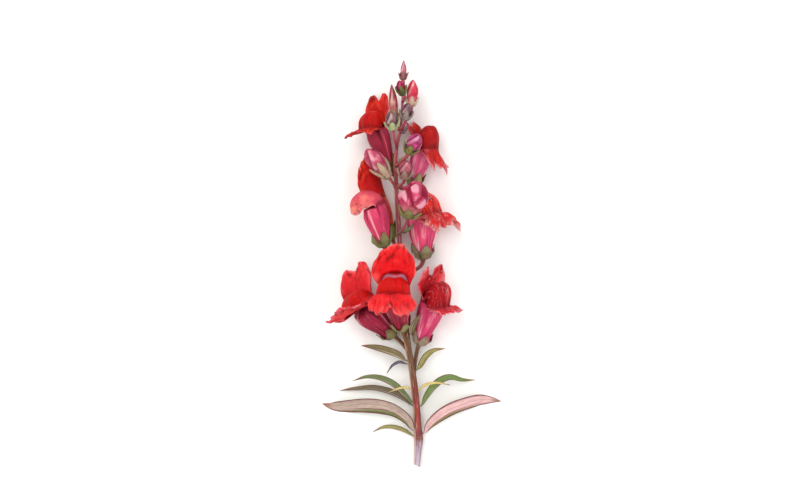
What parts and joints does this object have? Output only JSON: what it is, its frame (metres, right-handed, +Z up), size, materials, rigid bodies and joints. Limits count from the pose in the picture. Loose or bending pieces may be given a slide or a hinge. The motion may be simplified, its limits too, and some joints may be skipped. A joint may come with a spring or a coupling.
{
  "type": "snapdragon stem",
  "caption": "Cut flower stem lying flat: a tapering spike of two-lipped tubular blooms and closed buds, each in a five-lobed calyx, above pairs of narrow leaves.",
  "frame": {"origin": "bottom centre of the bounding box, on the surface the stem lies on", "axes": "+Y along the stem from its cut end to its tip, +Z up off the surface, +X to the right of the stem seen from above"},
  "size_m": [0.0938, 0.2129, 0.0444],
  "materials": {
    "petal_red": "soft petal, matt with a faint velvet sheen",
    "bud_pink": "smooth closed petal, satin",
    "calyx_olive": "downy sepal, matt",
    "leaf_green": "smooth leaf, satin",
    "leaf_yellow": "dry leaf, matt",
    "stem_bark": "smooth green-wood stem, satin"
  },
  "bodies": {
    "root": {"leaf_big_left": "leaf_green", "leaf_big_right": "leaf_green", "leaf_low_left": "leaf_green", "leaf_middle_left_upper": "leaf_green", "leaf_middle_left_lower": "leaf_green", "leaf_middle_right": "leaf_green", "leaf_yellow_left": "leaf_yellow", "leaf_yellow_right": "leaf_yellow", "bract_left": "leaf_green", "bract_left_small": "leaf_green", "bract_right": "leaf_green", "leaflet_lower_right": "leaf_green", "leaflet_right": "leaf_green", "leaflet_upper_right": "leaf_green", "leaflet_top": "leaf_green", "corolla_front": "petal_red", "calyx_front": "calyx_olive", "corolla_lower_left": "petal_red", "calyx_lower_left": "calyx_olive", "corolla_lower_right": "petal_red", "calyx_lower_right": "calyx_olive", "corolla_left_hood": "petal_red", "calyx_left_hood": "calyx_olive", "corolla_left_drooping": "petal_red", "calyx_left_drooping": "calyx_olive", "corolla_right_ruffled": "petal_red", "calyx_right_ruffled": "calyx_olive", "corolla_upper_left": "petal_red", "calyx_upper_left": "calyx_olive", "corolla_upper_right": "petal_red", "calyx_upper_right": "calyx_olive", "bud_right_folded": "bud_pink", "calyx_right_folded": "calyx_olive", "bud_left_large": "bud_pink", "calyx_left_large": "calyx_olive", "bud_right_round": "bud_pink", "calyx_right_round": "calyx_olive", "bud_right_upper": "bud_pink", "calyx_right_upper": "calyx_olive", "bud_front_mauve": "bud_pink", "calyx_front_mauve": "calyx_olive", "bud_upper_brown": "bud_pink", "calyx_upper_brown": "calyx_olive", "bud_upper_slender": "bud_pink", "calyx_upper_slender": "calyx_olive", "bud_crown_right": "bud_pink", "calyx_crown_right": "calyx_olive", "bud_top_round": "bud_pink", "calyx_top_round": "calyx_olive", "bud_tip": "bud_pink", "calyx_tip": "calyx_olive", "stem": "stem_bark"}
  },
  "joints": []
}
